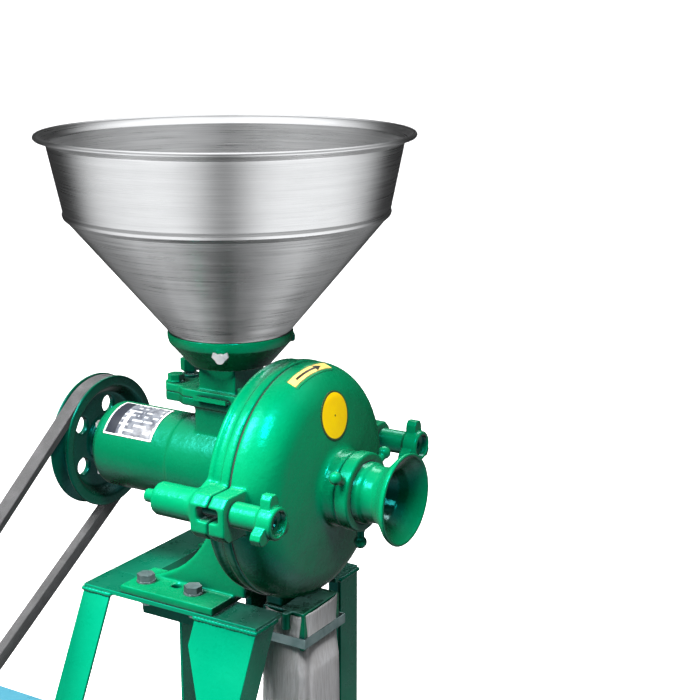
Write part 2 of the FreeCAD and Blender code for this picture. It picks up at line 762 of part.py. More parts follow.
def make_front_cover():
    made = body("front_cover", MILL)
    bore = S.thread_r + RUNNING
    inner_face = S.face_x - S.cover_t + 1
    nose = S.face_x + 10 - S.cover_t
    revolve(made, cover_profile() + [
        (S.face_x + 11, S.boss_r + 4), (S.face_x + 14, S.boss_r), (S.boss_x - 2, S.boss_r),
        (S.boss_x, S.boss_r - 2), (S.boss_x, bore), (nose, bore), (nose, S.face_r),
        (inner_face, S.casing_bore), (SEAM_GAP, S.casing_bore)])
    round_off(made, S.cover_round, ring_edge((S.face_x, S.cover_od)))
    round_off(made, S.cover_round - S.cover_t, ring_edge((inner_face, S.casing_bore)))
    for side in (-1, 1):
        pad(made, "YZ", lug_loops(side, S.stud_d / 2 + 0.5), SEAM_GAP, 17.5)
    doc.recompute()
    for side in (-1, 1):
        pocket(made, "YZ", [lug_slot(side)], 11, 12)
    keep(made, "front_cover")


def make_star_nut(label, side):
    """Sleeve nut with a three-winged flange and a hollow end."""
    made = body(label, shifted(MILL, 0, side * S.stud_y, STUD_Z))
    bore = S.stud_d / 2 + RUNNING
    revolve(made, [(18.3, bore), (60, bore), (61, 11.5), (67, 11.5), (67, 14), (65.5, 15.5), (52, 15.5),
                   (48, 12), (20, 12), (18.3, 10.5)])
    doc.recompute()
    wing = pad(made, "YZ", [[(-8, 10), (8, 10), (6.5, 22), (3.5, 26), (-3.5, 26), (-6.5, 22)]], 51, 11)
    repeat(made, wing, 3)
    keep(made, label)


def make_outlet():
    bore = S.thread_r + RUNNING
    turned("outlet_sleeve", MILL, [(27, bore), (34, bore), (34, 36), (30.5, 36), (30.5, 44), (27, 44)])
    trumpet = turned("outlet_trumpet", MILL, [
        (27, 24), (100, 24), (108, 28.5), (115, 35), (120, 40.5), (122, 42), (122, 44), (120.5, 45),
        (117, 43.5), (111, 37), (105, 31), (99, 27.5), (88, 27.5), (85, S.thread_r), (27, S.thread_r)])
    round_off(trumpet, 6, ring_edge((105, 31), (99, 27.5)))

    lock = body("lock_ring", MILL)
    revolve(lock, [(64.4, bore), (79, bore), (79, 37), (77.5, 38.5), (66, 38.5), (64.4, 37)])
    parts = [lock]
    for angle in (150, 30, 270):
        a = math.radians(angle)
        outward = Rotation(Vector(0, 0, 1), Vector(0, math.cos(a), math.sin(a)))
        spots = [shifted(MILL, 71.5, reach * math.cos(a), reach * math.sin(a)) for reach in (37, 52)]
        parts.append(cylinder(4, 14, spots[0], rotation=outward))
        ball = doc.addObject("Part::Sphere", "handle_ball")
        ball.Radius = 6.5
        place(ball, spots[1])
        parts.append(ball)
    keep(combine("MultiFuse", parts[0], parts[1:]), "lock_ring")


make_stationary_parts()
make_front_cover()
make_star_nut("star_nut_front", -1)
make_star_nut("star_nut_rear", 1)
make_outlet()


# ---------------------------------------------------------------- plates on the casting
def make_plates():
    """Thin plates that follow the surface they are fixed to."""
    skin = body("cover_skin", MILL)
    lift = 0.8
    outline = cover_profile() + list(reversed(cover_profile(lift)))
    revolve(skin, outline)
    round_off(skin, S.cover_round, ring_edge((S.face_x, S.cover_od)))
    round_off(skin, S.cover_round + lift, ring_edge((S.face_x + lift, S.cover_od + lift)))
    badge = doc.addObject("Part::Common", "badge")
    badge.Base = skin
    badge.Tool = cylinder(23.5, 30, shifted(MILL, 25, 0, 71), "X")
    keep(badge, "round_badge")
    strip = doc.addObject("Part::Common", "strip")
    strip.Base = skin
    turn = Rotation(Vector(1, 0, 0), 8)
    strip.Tool = cuboid((13, 64, 30), shifted(MILL, 13, -38, 100), turn)
    keep(strip, "direction_plate")

    plate = body("nameplate", MILL)
    revolve(plate, ring(-214, -152, S.tube_r + 0.8, S.tube_r + 0.02), angle=62)
    place(plate, MILL, Rotation(Vector(1, 0, 0), -2))
    keep(plate, "nameplate")


# ---------------------------------------------------------------- feed
WING_ANGLE = 27     # the wing screw looks this far round from -Y towards +X
SET_SCREW_ANGLE = 147
WING_Z = 127


def make_feed():
    funnel = body("feed_funnel", FEED)
    lip = S.seat_z + 6
    revolve(funnel, [
        (36, 110), (40.5, 108), (44, 112), (60.5, lip - 10), (62, lip - 5), (62, lip), (58, lip),
        (58, S.seat_z), (53, S.seat_z), (33, 113), (33, 110)], "V")
    pad(funnel, "XY", [box_loop(-22, 22, -25, 25), box_loop(-18, 18, -20, 20)], 80, 33)
    pad(funnel, "XY", [throat_flange(), box_loop(-18, 18, -20, 20)], 74.3, 8)
    doc.recompute()
    pocket(funnel, "XY", [box_loop(-20, 20, -40, 26)], 76.9, 3)
    pocket(funnel, "XY", [circle(x, y, 4.2) for x, y in FLANGE_BOLTS], 84, 11)
    bosses = []
    holes = []
    for angle in (WING_ANGLE, SET_SCREW_ANGLE):
        way = Rotation(Vector(0, 0, 1), angle).multVec(Vector(0, -1, 0))
        level = Rotation(Vector(0, 0, 1), way)
        bosses.append(cylinder(6, 14, shifted(FEED, 48 * way.x, 48 * way.y, WING_Z), rotation=level))
        holes.append(cylinder(3 + RUNNING, 20, shifted(FEED, 49 * way.x, 49 * way.y, WING_Z), rotation=level))
    keep(combine("Cut", combine("MultiFuse", funnel, bosses), holes), "feed_funnel")

    gate = body("feed_gate", FEED)
    pad(gate, "XY", [box_loop(-19.6, 19.6, -36, 25)], 74.5, 2)
    pad(gate, "XY", [box_loop(-19.6, 19.6, -38, -36)], 74.5, 4.5)
    keep(gate, "feed_gate")

    bolt = body("funnel_bolt", FLOOR)
    pad(bolt, "XY", [circle(0, 0, 9)], 0, 1.6)
    pad(bolt, "XY", [hexagon(15)], 1.6, 6.5)
    pad(bolt, "XY", [circle(0, 0, 4)], -17.3, 17.3)
    clamp = body("funnel_clamp", FLOOR)
    pad(clamp, "XY", [circle(0, 0, 9.5)], 0, 3)
    pad(clamp, "XY", [circle(0, 0, 4)], -17.3, 24)
    pad(clamp, "XY", [hexagon(18)], 6.5, 12.5)
    set_screw = body("set_screw", FLOOR)
    pad(set_screw, "XZ", [circle(0, 0, 3)], 50, 13)
    pad(set_screw, "XZ", [hexagon(10)], 62.4, 5)
    spots = [(shifted(FEED, x, y, 82.3), None) for x, y in FLANGE_BOLTS]
    turned_back = Rotation(Vector(0, 0, 1), SET_SCREW_ANGLE)
    group("funnel_bolts", linked(bolt, spots[:1] + spots[2:]) + linked(clamp, spots[1:2])
          + linked(set_screw, [(shifted(FEED, 0, 0, WING_Z), turned_back)]))

    inner = S.sheet_t
    neck_z = S.seat_z + 0.2
    turned("hopper", FEED, [
        (56.3, neck_z), (57.6, neck_z), (57.6, 141.4), (62.3, 141.8), (S.knee_r - 3, S.knee_z - 3),
        (S.knee_r + 1, S.knee_z + 3),
        (S.rim_r - 6, 322), (S.rim_r + 4, 325), (S.rim_r + 7, S.rim_z), (S.rim_r + 4, S.rim_z + 5),
        (S.rim_r - 4, S.rim_z + 5), (S.rim_r - 6 - inner, S.rim_z), (S.rim_r - 6 - inner, 322),
        (S.knee_r + 1 - inner, S.knee_z + 4), (S.knee_r - 3 - inner, S.knee_z - 2), (61.2, 143.1),
        (56.3, 142.7)], "V")

    screw = body("hopper_wing_screw", shifted(FEED, 0, 0, WING_Z))
    pad(screw, "XZ", [circle(0, 0, 3)], 50, 14)
    pad(screw, "XZ", [circle(0, 0, 4.5)], 62.4, 6)
    wings = [(-8, 2), (-7, 6), (-4, 5), (0, 2), (4, 5), (7, 6), (8, 2), (4, -2), (-4, -2)]
    pad(screw, "XZ", [wings], 63.5, 3.5)
    place(screw, shifted(FEED, 0, 0, WING_Z), Rotation(Vector(0, 0, 1), WING_ANGLE))
    keep(screw, "hopper_wing_screw")


# ---------------------------------------------------------------- outlet spout and cloth sleeve
def make_flour_outlet():
    """Sheet spout under the casing's outlet neck, and the cloth sleeve banded round it."""
    here = shifted(MILL, 3, 0, 0)
    spout = body("flour_spout", here)
    outer = box_loop(-24, 24, -33, 33)
    pad(spout, "XY", [outer, box_loop(-21.5, 21.5, -30.5, 30.5)], -165, 36)
    pad(spout, "XY", [outer, box_loop(-20, -6.5, -24, 24)], -129, 3)
    pad(spout, "XY", [circle(6, -37.5, 4.5)], -143, 17)
    pad(spout, "XY", [box_loop(1.5, 10.5, -37.5, -32)], -129, 3)
    keep(spout, "flour_spout")
    band = body("sleeve_band", here)
    pad(band, "XY", [box_loop(-28.4, 28.4, -37.4, 37.4), box_loop(-27.1, 27.1, -36.1, 36.1)], -160, 10)
    keep(band, "sleeve_band")
    sleeve = body("flour_sleeve", here)
    pad(sleeve, "XY", [box_loop(-27, 27, -36, 36), box_loop(-24.4, 24.4, -33.4, 33.4)], -345, 198)
    keep(sleeve, "flour_sleeve")


# ---------------------------------------------------------------- belt
def make_belt():
    """Endless V-belt: two arcs and two straight strands, with a trapezium section."""
    run = Vector(0, -number(S.belt_run), -number(S.belt_drop))
    middle = number(S.belt_h) / 2 + number(S.belt_sink)
    big = number(S.mill_pulley_d) / 2 - middle
    small = number(S.motor_pulley_d) / 2 - middle
    along = Vector(run).normalize()
    up = Vector(0, -along.z, along.y)
    tilt = math.asin((big - small) / run.Length)

    def rim_point(centre, radius, side):
        return centre + (along * math.sin(tilt) + up * (side * math.cos(tilt))) * radius

    here = Vector(0, 0, 0)
    start = rim_point(here, big, 1)
    end = rim_point(run, small, 1)
    low_end = rim_point(run, small, -1)
    low_start = rim_point(here, big, -1)
    wire = Part.Wire([
        Part.LineSegment(start, end).toShape(),
        Part.Arc(end, run + along * small, low_end).toShape(),
        Part.LineSegment(low_end, low_start).toShape(),
        Part.Arc(low_start, -along * big, start).toShape(),
    ])
    half_h = number(S.belt_h) / 2
    top = number(S.belt_w) / 2
    low = top - number(S.belt_h) * GROOVE_SLOPE
    outward = (start - here).normalize()
    side = Vector(1, 0, 0)
    corners = [start + outward * v + side * u for u, v in ((-top, half_h), (top, half_h), (low, -half_h),
                                                           (-low, -half_h), (-top, half_h))]
    made = doc.addObject("Part::Feature", "belt")
    made.Shape = wire.makePipeShell([Part.makePolygon(corners)], True, False)
    place(made, MILL_PULLEY)
    keep(made, "drive_belt")


# ---------------------------------------------------------------- motor
def make_motor():
    """Foot-mounted motor. Local X = 0 is the pulley plane, and the shaft shoulder is at +22."""
    shoulder = 22
    body_start = shoulder + 46
    body_end = shoulder + 206
    foot_x = (shoulder + 50, shoulder + 150)
    radius = S.motor_r
    frame = body("motor_frame", MOTOR)
    revolve(frame, ring(body_start, body_end, radius, radius - 6))
    fin = pad(frame, "YZ", [box_loop(-1.1, 1.1, 66, 76)], body_start + 4, body_end - body_start - 8)
    repeat(frame, fin, 36)
    doc.recompute()
    for side in (-1, 1):
        for x in foot_x:
            low, high = sorted((side * 38, side * 76))
            pad(frame, "XY", [box_loop(x - 16, x + 16, low, high)], -S.motor_h, 9)
            low, high = sorted((side * 40, side * 50))
            pad(frame, "XY", [box_loop(x - 3, x + 14, low, high)], -S.motor_h, 36)
    pad(frame, "XY", [box_loop(110, 186, -34, 34)], 62, 22)
    doc.recompute()
    pocket(frame, "YZ", [circle(0, 0, radius - 6)], body_end + 1, body_end - body_start + 2)
    holes = [circle(x, side * S.motor_foot_y / 2, 5) for x in foot_x for side in (-1, 1)]
    pocket(frame, "XY", holes, 10 - S.motor_h, 11)
    keep(frame, "motor_frame")

    bell_r = radius - 6
    bell = body("motor_bell", FLOOR)
    fit = bell_r - 0.2
    revolve(bell, [
        (0, 10), (-26, 10), (-28, 14), (-28, 28), (-22, 34), (-16, 60), (-8, radius), (-0.2, radius),
        (-0.2, fit), (6, fit), (6, bell_r - 8), (-6, bell_r - 8), (-12, 34), (0, 30)])
    places = [(shifted(MOTOR, body_start), None),
              (shifted(MOTOR, body_end), Rotation(Vector(0, 0, 1), 180))]
    copies("motor_end_bells", bell, places)

    turned("motor_stator", MOTOR, ring(body_start + 20, body_end - 20, radius - 6.2, 41))
    shaft_r = S.motor_shaft_d / 2
    turned("motor_shaft", MOTOR, [
        (-18, 0), (body_end + 60, 0), (body_end + 60, 7), (body_end + 28, 7), (body_end + 28, 9.9),
        (body_end - 28, 9.9), (body_end - 28, 40.6), (body_start + 28, 40.6), (body_start + 28, 9.9),
        (body_start - 30, 9.9), (body_start - 30, 12), (shoulder, 12), (shoulder, shaft_r), (-17, shaft_r),
        (-18, shaft_r - 1)])

    fan = body("motor_fan", MOTOR)
    revolve(fan, ring(body_end + 38, body_end + 56, 14, 7))
    blade = pad(fan, "YZ", [box_loop(-1, 1, 12, 58)], body_end + 40, 14)
    repeat(fan, blade, 7)
    keep(fan, "motor_fan")

    hood = body("motor_fan_cover", MOTOR)
    hood_end = body_end + 70
    revolve(hood, [(body_end - 10, radius + 7.5), (body_end - 10, radius + 9), (hood_end - 12, radius + 9),
                   (hood_end, radius - 4), (hood_end, 0), (hood_end - 1.5, 0), (hood_end - 1.5, radius - 5),
                   (hood_end - 12.5, radius + 7.5)])
    doc.recompute()
    slots = []
    for i in range(-4, 5):
        reach = math.sqrt(52 ** 2 - (i * 11) ** 2)
        slots.append(box_loop(-reach, reach, i * 11 - 2.2, i * 11 + 2.2))
    pocket(hood, "YZ", slots, hood_end + 1, 4)
    keep(hood, "motor_fan_cover")

    wheel = body("motor_pulley", MOTOR)
    rim = S.motor_pulley_d / 2
    half = S.pulley_w / 2
    revolve(wheel, [(-15, shaft_r), (20, shaft_r), (20, 17), (half, 17), (half, rim - 1), (half - 1, rim)]
            + groove_corners(rim, rim - S.belt_sink, half)
            + [(1 - half, rim), (-half, rim - 1), (-half, 18), (-15, 17)])
    keep(wheel, "motor_pulley")

    box = body("terminal_box", MOTOR)
    pad(box, "XY", [box_loop(104, 192, -40, 40)], 84, 26)
    pad(box, "XY", [box_loop(100, 196, -44, 44)], 110, 8)
    pad(box, "XZ", [circle(148, 97, 11)], 40, 15)
    doc.recompute()
    pocket(box, "XZ", [circle(148, 97, 6)], 56, 16)
    keep(box, "terminal_box")

    bolt = body("motor_bolt", FLOOR)
    grip = 9 + SHELF_T
    pad(bolt, "XY", [circle(0, 0, 9)], 0, 1.6)
    pad(bolt, "XY", [hexagon(13)], 1.6, 5.4)
    pad(bolt, "XY", [circle(0, 0, 4)], -grip - 9, grip + 9)
    pad(bolt, "XY", [hexagon(13)], -grip - 6.5, 6.5)
    places = []
    for x in foot_x:
        for side in (-1, 1):
            places.append((shifted(MOTOR, x, side * S.motor_foot_y / 2, 9 - S.motor_h), None))
    copies("motor_bolts", bolt, places)


make_plates()
make_feed()
make_flour_outlet()
make_belt()
make_motor()


# ---------------------------------------------------------------- check and write
doc.recompute()
problems = []
for item in doc.Objects:
    if "Invalid" in item.State or "Error" in item.State:
        problems.append(f"{item.Name}: {item.State}")
for item in nodes:
    if item.Shape.isNull() or not item.Shape.isValid() or not item.Shape.Solids:
        problems.append(f"{item.Label}: bad shape")
if problems:
    raise RuntimeError("; ".join(problems))
os.makedirs("parts", exist_ok=True)
for item in nodes:
    item.Shape.exportStep(f"parts/{item.Label}.step")
    print(f"{item.Label:22s} solids {len(item.Shape.Solids):3d}  volume {item.Shape.Volume / 1000:9.1f} cm3")
print("nodes", len(nodes))
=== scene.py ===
import bmesh
import bpy
import json
import math
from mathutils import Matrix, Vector


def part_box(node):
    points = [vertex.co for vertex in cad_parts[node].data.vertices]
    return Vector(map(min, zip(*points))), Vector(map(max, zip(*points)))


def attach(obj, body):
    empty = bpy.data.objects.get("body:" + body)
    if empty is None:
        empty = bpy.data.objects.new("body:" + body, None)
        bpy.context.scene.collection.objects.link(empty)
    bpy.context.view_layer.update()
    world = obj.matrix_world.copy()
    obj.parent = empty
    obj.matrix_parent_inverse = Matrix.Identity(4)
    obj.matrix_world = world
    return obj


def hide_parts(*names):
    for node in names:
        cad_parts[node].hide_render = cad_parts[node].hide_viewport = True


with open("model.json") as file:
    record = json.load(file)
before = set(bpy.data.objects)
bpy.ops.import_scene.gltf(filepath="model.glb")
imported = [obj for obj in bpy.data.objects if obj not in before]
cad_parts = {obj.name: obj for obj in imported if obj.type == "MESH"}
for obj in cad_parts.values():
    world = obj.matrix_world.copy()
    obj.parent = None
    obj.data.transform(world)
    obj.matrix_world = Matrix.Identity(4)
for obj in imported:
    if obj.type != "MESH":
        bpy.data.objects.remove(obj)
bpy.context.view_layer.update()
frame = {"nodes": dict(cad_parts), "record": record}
NODES = frame["nodes"]
scene = bpy.context.scene


# ------------------------------------------------------------------ where things are, from the frame
def middle(node):
    low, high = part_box(node)
    return (low + high) / 2


SHAFT = middle("main_shaft")
HOPPER = middle("hopper")
FEED = Vector((HOPPER.x, HOPPER.y, SHAFT.z))
MILL_WHEEL = middle("mill_pulley")
MOTOR = middle("motor_pulley")
X, Y, Z = Vector((1, 0, 0)), Vector((0, 1, 0)), Vector((0, 0, 1))
MM = 0.001


# ------------------------------------------------------------------ camera and lamps
CAMERA_AT = (0.8577, -1.0399, 1.0787)
CAMERA_TURN, CAMERA_TILT = math.radians(31.3), math.radians(14.1)    # azimuth and elevation it looks from


def make_camera():
    data = bpy.data.cameras.new("camera")
    data.sensor_width = 36
    data.lens = 76.46
    data.clip_start, data.clip_end = 0.05, 400
    camera = bpy.data.objects.new("camera", data)
    scene.collection.objects.link(camera)
    back = Vector((math.sin(CAMERA_TURN), -math.cos(CAMERA_TURN), math.tan(CAMERA_TILT)))
    camera.location = CAMERA_AT
    camera.rotation_mode = "QUATERNION"
    camera.rotation_quaternion = (-back).to_track_quat("-Z", "Y")
    scene.camera = camera


def area_light(name, place, target, size, power, colour=(1, 1, 1)):
    data = bpy.data.lights.new(name, "AREA")
    data.shape = "RECTANGLE"
    data.size, data.size_y = size
    data.energy = power
    data.color = colour
    light = bpy.data.objects.new(name, data)
    scene.collection.objects.link(light)
    light.location = place
    light.rotation_mode = "QUATERNION"
    light.rotation_quaternion = (Vector(place) - Vector(target)).to_track_quat("Z", "Y")
    light.visible_camera = False
    return light


# ------------------------------------------------------------------ material nodes
class Graph:
    """Adds nodes to a node tree. Its methods give back output sockets."""

    def __init__(self, tree):
        self.tree = tree
        self.place = None

    def add(self, kind, **settings):
        node = self.tree.nodes.new(kind)
        for key, value in settings.items():
            setattr(node, key, value)
        return node

    def feed(self, socket, value):
        if isinstance(value, bpy.types.NodeSocket):
            self.tree.links.new(value, socket)
        elif isinstance(value, (tuple, list, Vector)) and len(value) == 3 and socket.type == "RGBA":
            socket.default_value = (*value, 1)
        else:
            socket.default_value = value

    def math(self, operation, a, b=0.0):
        node = self.add("ShaderNodeMath", operation=operation)
        self.feed(node.inputs[0], a)
        self.feed(node.inputs[1], b)
        return node.outputs[0]

    def times(self, first, *others):
        for other in others:
            first = self.math("MULTIPLY", first, other)
        return first

    def vector(self, operation, a, b=(0, 0, 0)):
        node = self.add("ShaderNodeVectorMath", operation=operation)
        self.feed(node.inputs[0], a)
        self.feed(node.inputs[1], b)
        return node.outputs["Value" if operation in ("LENGTH", "DOT_PRODUCT") else "Vector"]

    def split(self, vector):
        node = self.add("ShaderNodeSeparateXYZ")
        self.feed(node.inputs[0], vector)
        return node.outputs

    def join(self, x, y, z):
        node = self.add("ShaderNodeCombineXYZ")
        for socket, value in zip(node.inputs, (x, y, z)):
            self.feed(socket, value)
        return node.outputs[0]

    def noise(self, scale, detail=3, rough=0.55, at=None):
        node = self.add("ShaderNodeTexNoise")
        self.feed(node.inputs["Vector"], at or self.place)
        node.inputs["Scale"].default_value = scale
        node.inputs["Detail"].default_value = detail
        node.inputs["Roughness"].default_value = rough
        return node.outputs["Fac"]

    def ramp(self, value, low, high, to_low=0.0, to_high=1.0):
        """Eases from to_low to to_high while value goes from low to high."""
        node = self.add("ShaderNodeMapRange", interpolation_type="SMOOTHSTEP")
        self.feed(node.inputs["Value"], value)
        for key, number in (("From Min", low), ("From Max", high), ("To Min", to_low), ("To Max", to_high)):
            node.inputs[key].default_value = number
        return node.outputs["Result"]

    def between(self, value, low, high, soft):
        """1 where value lies between low and high, with soft edges."""
        rise = self.ramp(value, low - soft, low + soft)
        fall = self.ramp(value, high - soft, high + soft)
        return self.math("SUBTRACT", rise, fall)

    def mix(self, share, a, b):
        node = self.add("ShaderNodeMix", data_type="RGBA")
        self.feed(node.inputs[0], share)
        self.feed(node.inputs[6], a)
        self.feed(node.inputs[7], b)
        return node.outputs[2]

    def bump(self, height, depth, under=None):
        node = self.add("ShaderNodeBump")
        self.feed(node.inputs["Height"], height)
        node.inputs["Distance"].default_value = depth
        if under:
            self.feed(node.inputs["Normal"], under)
        return node.outputs["Normal"]

    def hollow(self, reach, samples=6):
        """0 in the open, towards 1 in corners and recesses."""
        node = self.add("ShaderNodeAmbientOcclusion", samples=samples)
        node.inputs["Distance"].default_value = reach
        return self.math("SUBTRACT", 1.0, node.outputs["AO"])

    def edge(self):
        """Towards 1 on outward edges of a finely divided mesh."""
        node = self.add("ShaderNodeNewGeometry")
        return self.ramp(node.outputs["Pointiness"], 0.545, 0.60)


class Shader(Graph):
    """A material under construction."""

    def __init__(self, name, **sockets):
        self.material = bpy.data.materials.new(name)
        self.material.use_nodes = True
        super().__init__(self.material.node_tree)
        self.surface = self.tree.nodes["Principled BSDF"]
        self.place = self.add("ShaderNodeTexCoord").outputs["Object"]
        self.set(**sockets)

    def set(self, **sockets):
        for key, value in sockets.items():
            self.feed(self.surface.inputs[key.replace("_", " ")], value)


# ------------------------------------------------------------------ world and light
# azimuth of a panel's middle, then the angles from it to where the panel starts to fade and where it ends
PANELS = ((-28, 10, 68), (97, 12, 70))


def make_world():
    """A soft studio: two broad panels left and right of the camera, a bright ceiling, dark towards the floor.
    z is the height of a direction: 1 straight up, -1 straight down."""
    world = bpy.data.worlds.new("studio")
    world.use_nodes = True
    scene.world = world
    g = Graph(world.node_tree)
    way = g.add("ShaderNodeTexCoord").outputs["Generated"]
    x, y, z = g.split(way)
    level = g.vector("NORMALIZE", g.join(x, y, 0.0))
    panels = 0.0
    for azimuth, inner, outer in PANELS:
        a = math.radians(azimuth)
        toward = g.vector("DOT_PRODUCT", level, (math.sin(a), -math.cos(a), 0.0))
        near = g.ramp(toward, math.cos(math.radians(outer)), math.cos(math.radians(inner)), 0.0, 1.1)
        panels = g.math("ADD", panels, near)
    # reflections show the panels, brightest near the floor, with a low haze round them and the ceiling
    haze = g.math("SUBTRACT", g.ramp(z, -0.92, -0.62, 0.0, 0.22), g.ramp(z, -0.5, -0.3, 0.0, 0.19))
    glow = g.math("SUBTRACT", g.ramp(z, -1.0, -0.84, 0.1, 1.55), g.ramp(z, -0.82, -0.62, 0.0, 0.52))
    glow = g.times(glow, g.ramp(z, -0.5, 0.0, 1.0, 0.32))
    shown = g.math("ADD", g.times(panels, glow), haze)
    shown = g.math("ADD", shown, g.ramp(z, 0.45, 0.85, 0.0, 1.3))
    # dull surfaces are lit softly, mostly from above
    soft = g.times(g.math("ADD", panels, 0.08), g.ramp(z, -0.1, 0.6, 0.01, 0.13))
    soft = g.math("ADD", soft, g.ramp(z, 0.2, 0.95, 0.0, 0.42))
    # the camera sees plain white behind the mill
    path = g.add("ShaderNodeLightPath")
    blend = g.add("ShaderNodeMix", data_type="FLOAT")
    g.feed(blend.inputs[0], path.outputs["Is Diffuse Ray"])
    g.feed(blend.inputs[2], shown)
    g.feed(blend.inputs[3], soft)
    seen = path.outputs["Is Camera Ray"]
    light = g.times(blend.outputs[0], g.math("SUBTRACT", 1.0, seen))
    light = g.math("ADD", light, g.times(seen, 1.05))
    base = world.node_tree.nodes["Background"]
    g.feed(base.inputs["Color"], g.mix(seen, (0.97, 0.985, 1.0), (1.0, 1.0, 1.0)))
    g.feed(base.inputs["Strength"], light)


def make_light():
    """Four soft lamps aimed at the mill and a sun for the shadow on the floor."""
    mid = (0.0, 0.0, 0.62)
    lamps = [
        area_light("key", (-0.85, -1.0, 2.9), mid, (0.6, 0.6), 170, (1, 0.985, 0.96)),
        area_light("front", (-1.0, -1.5, 2.42), mid, (0.7, 0.7), 70),
        area_light("fill", (0.28, -0.21, 1.15), (0.14, 0.0, 0.68), (0.16, 0.16), 7.5),
        area_light("back", (-0.8, 1.9, 2.8), mid, (1.6, 0.8), 52),
    ]
    data = bpy.data.lights.new("sun", "SUN")
    data.energy = 5.0
    data.angle = math.radians(22)
    sun = bpy.data.objects.new("sun", data)
    scene.collection.objects.link(sun)
    sun.rotation_mode = "QUATERNION"
    sun.rotation_quaternion = Vector((-0.34, -0.62, 1.1)).to_track_quat("Z", "Y")
    scene.view_settings.view_transform = "Standard"
    return lamps, sun


def link_lamps(lamps, obj, state):
    """INCLUDE makes the lamps light the object only, EXCLUDE everything but the object."""
    group = bpy.data.collections.new(state.lower() + "_" + obj.name)
    group.objects.link(obj)
    for item in group.collection_objects:
        item.light_linking.link_state = state
    for lamp in lamps:
        lamp.light_linking.receiver_collection = group


# ------------------------------------------------------------------ materials
def scaled(colour, share, lift=0.0):
    return tuple(min(1, c * share + lift) for c in colour)


def paint(name, colour, shade, peel=1.0, lumps=1.0, gloss=0.24, top_shade=0.0):
    """Enamel over metal: sags, orange peel, painted shade in recesses and corners, chips along edges, painted
    shade on upper faces.
    """
    s = Shader(name, IOR=1.25, Specular_Tint=(0.0, 1.0, 1.0, 1), Specular_IOR_Level=0.85)
    patch = s.ramp(s.noise(9, 4, 0.6), 0.35, 0.7)
    tint = s.mix(s.times(patch, 0.6), colour, scaled(colour, 1.15, 0.002))
    # painted shade: darker towards the shade colour in recesses, under parts and between them
    tint = s.mix(s.ramp(s.hollow(0.07, 8), 0.15, 0.85, 0.0, 0.85), tint, shade)
    # painted shade in corners and crevices, broken up by noise
    corner = s.ramp(s.hollow(0.012, 12), 0.3, 0.9)
    corner_shade = s.times(corner, s.ramp(s.noise(120, 4, 0.7), 0.2, 0.7, 0.5, 1.0))
    tint = s.mix(s.times(corner_shade, 0.8), tint, shade)
    # painted shade: upper faces darker towards the shade colour
    if top_shade:
        facing_up = s.split(s.add("ShaderNodeTexCoord").outputs["Normal"])[2]
        tint = s.mix(s.ramp(facing_up, 0.7, 0.95, 0.0, top_shade), tint, shade)
    chips = s.ramp(s.noise(260, 3, 0.7), 0.60, 0.66)
    chips = s.times(chips, s.edge())
    tint = s.mix(s.times(chips, 0.6), tint, scaled(colour, 0.3, 0.01))
    rough = s.ramp(s.noise(45, 4, 0.65), 0.25, 0.75, gloss - 0.05, gloss + 0.10)
    waves = s.bump(s.noise(26, 1, 0.4), 0.0012 * lumps)
    grain = s.bump(s.noise(210, 2, 0.5), 0.00028 * peel, waves)
    grit = s.bump(s.noise(900, 2, 0.6), 0.00003 * peel, grain)
    s.set(Base_Color=tint, Roughness=rough, Normal=grit)
    return s.material


def turned_coordinates(s, axis, centre):
    """Place on a round part: a point on the unit circle, distance along the axis, radius."""
    local = s.vector("SUBTRACT", s.place, tuple(centre))
    x, y, z = s.split(local)
    u, v, along = {"X": (y, z, x), "Y": (x, z, y), "Z": (x, y, z)}[axis]
    radius = s.vector("LENGTH", s.join(u, v, 0.0))
    safe = s.math("MAXIMUM", radius, 0.0005)
    return s.math("DIVIDE", u, safe), s.math("DIVIDE", v, safe), along, radius


def lines(s, axis, centre, fine, sweep=1.5):
    """Noise drawn out round an axis, as spinning, turning or ring polishing leaves it."""
    u, v, along, radius = turned_coordinates(s, axis, centre)
    across = s.math("ADD", along, s.times(radius, 0.83))
    at = s.join(s.times(u, sweep), s.times(v, sweep), s.times(across, fine))
    return s.noise(1.0, 4, 0.65, at)


def spun_steel(name, axis, centre, colour, gloss, aniso, fine, depth):
    """Spun or turned metal. fine is the lines' number in a metre along the axis, depth their height."""
    s = Shader(name, Metallic=1.0, Anisotropic=aniso, Anisotropic_Rotation=0.25, IOR=1.45)
    tangent = s.add("ShaderNodeTangent", direction_type="RADIAL", axis=axis)
    ring = lines(s, axis, centre, fine)
    broad = lines(s, axis, centre, fine * 0.12, 1.0)
    smear = s.ramp(s.noise(14, 3, 0.6), 0.3, 0.75)
    tint = s.mix(s.ramp(ring, 0.3, 0.7), scaled(colour, 0.78), colour)
    tint = s.mix(s.times(s.ramp(broad, 0.35, 0.7), 0.35), tint, scaled(colour, 1.15))
    # painted shade: darker in recesses
    tint = s.mix(s.times(s.ramp(s.hollow(0.01), 0.35, 0.9), 0.6), tint, (0.06, 0.06, 0.055))
    rough = s.ramp(ring, 0.3, 0.7, gloss - 0.05, gloss + 0.08)
    rough = s.math("ADD", rough, s.times(smear, 0.05))
    s.set(Base_Color=tint, Roughness=rough, Normal=s.bump(ring, depth))
    s.feed(s.surface.inputs["Tangent"], tangent.outputs[0])
    return s.material


def zinc(name, low, high):
    """Zinc plating, clouded between two colours, with painted shade in its hollows."""
    s = Shader(name, Metallic=0.8, IOR=1.5)
    cloud = s.noise(60, 3, 0.55)
    tint = s.mix(s.ramp(cloud, 0.3, 0.7), low, high)
    # painted shade: darker in hollows
    tint = s.mix(s.ramp(s.hollow(0.004, 16), 0.45, 1.0, 0.0, 0.6), tint, (0.10, 0.10, 0.10))
    rough = s.ramp(s.noise(420, 3, 0.6), 0.3, 0.7, 0.28, 0.42)
    s.set(Base_Color=tint, Roughness=rough, Normal=s.bump(s.noise(1300, 2), 0.00003))
    return s.material


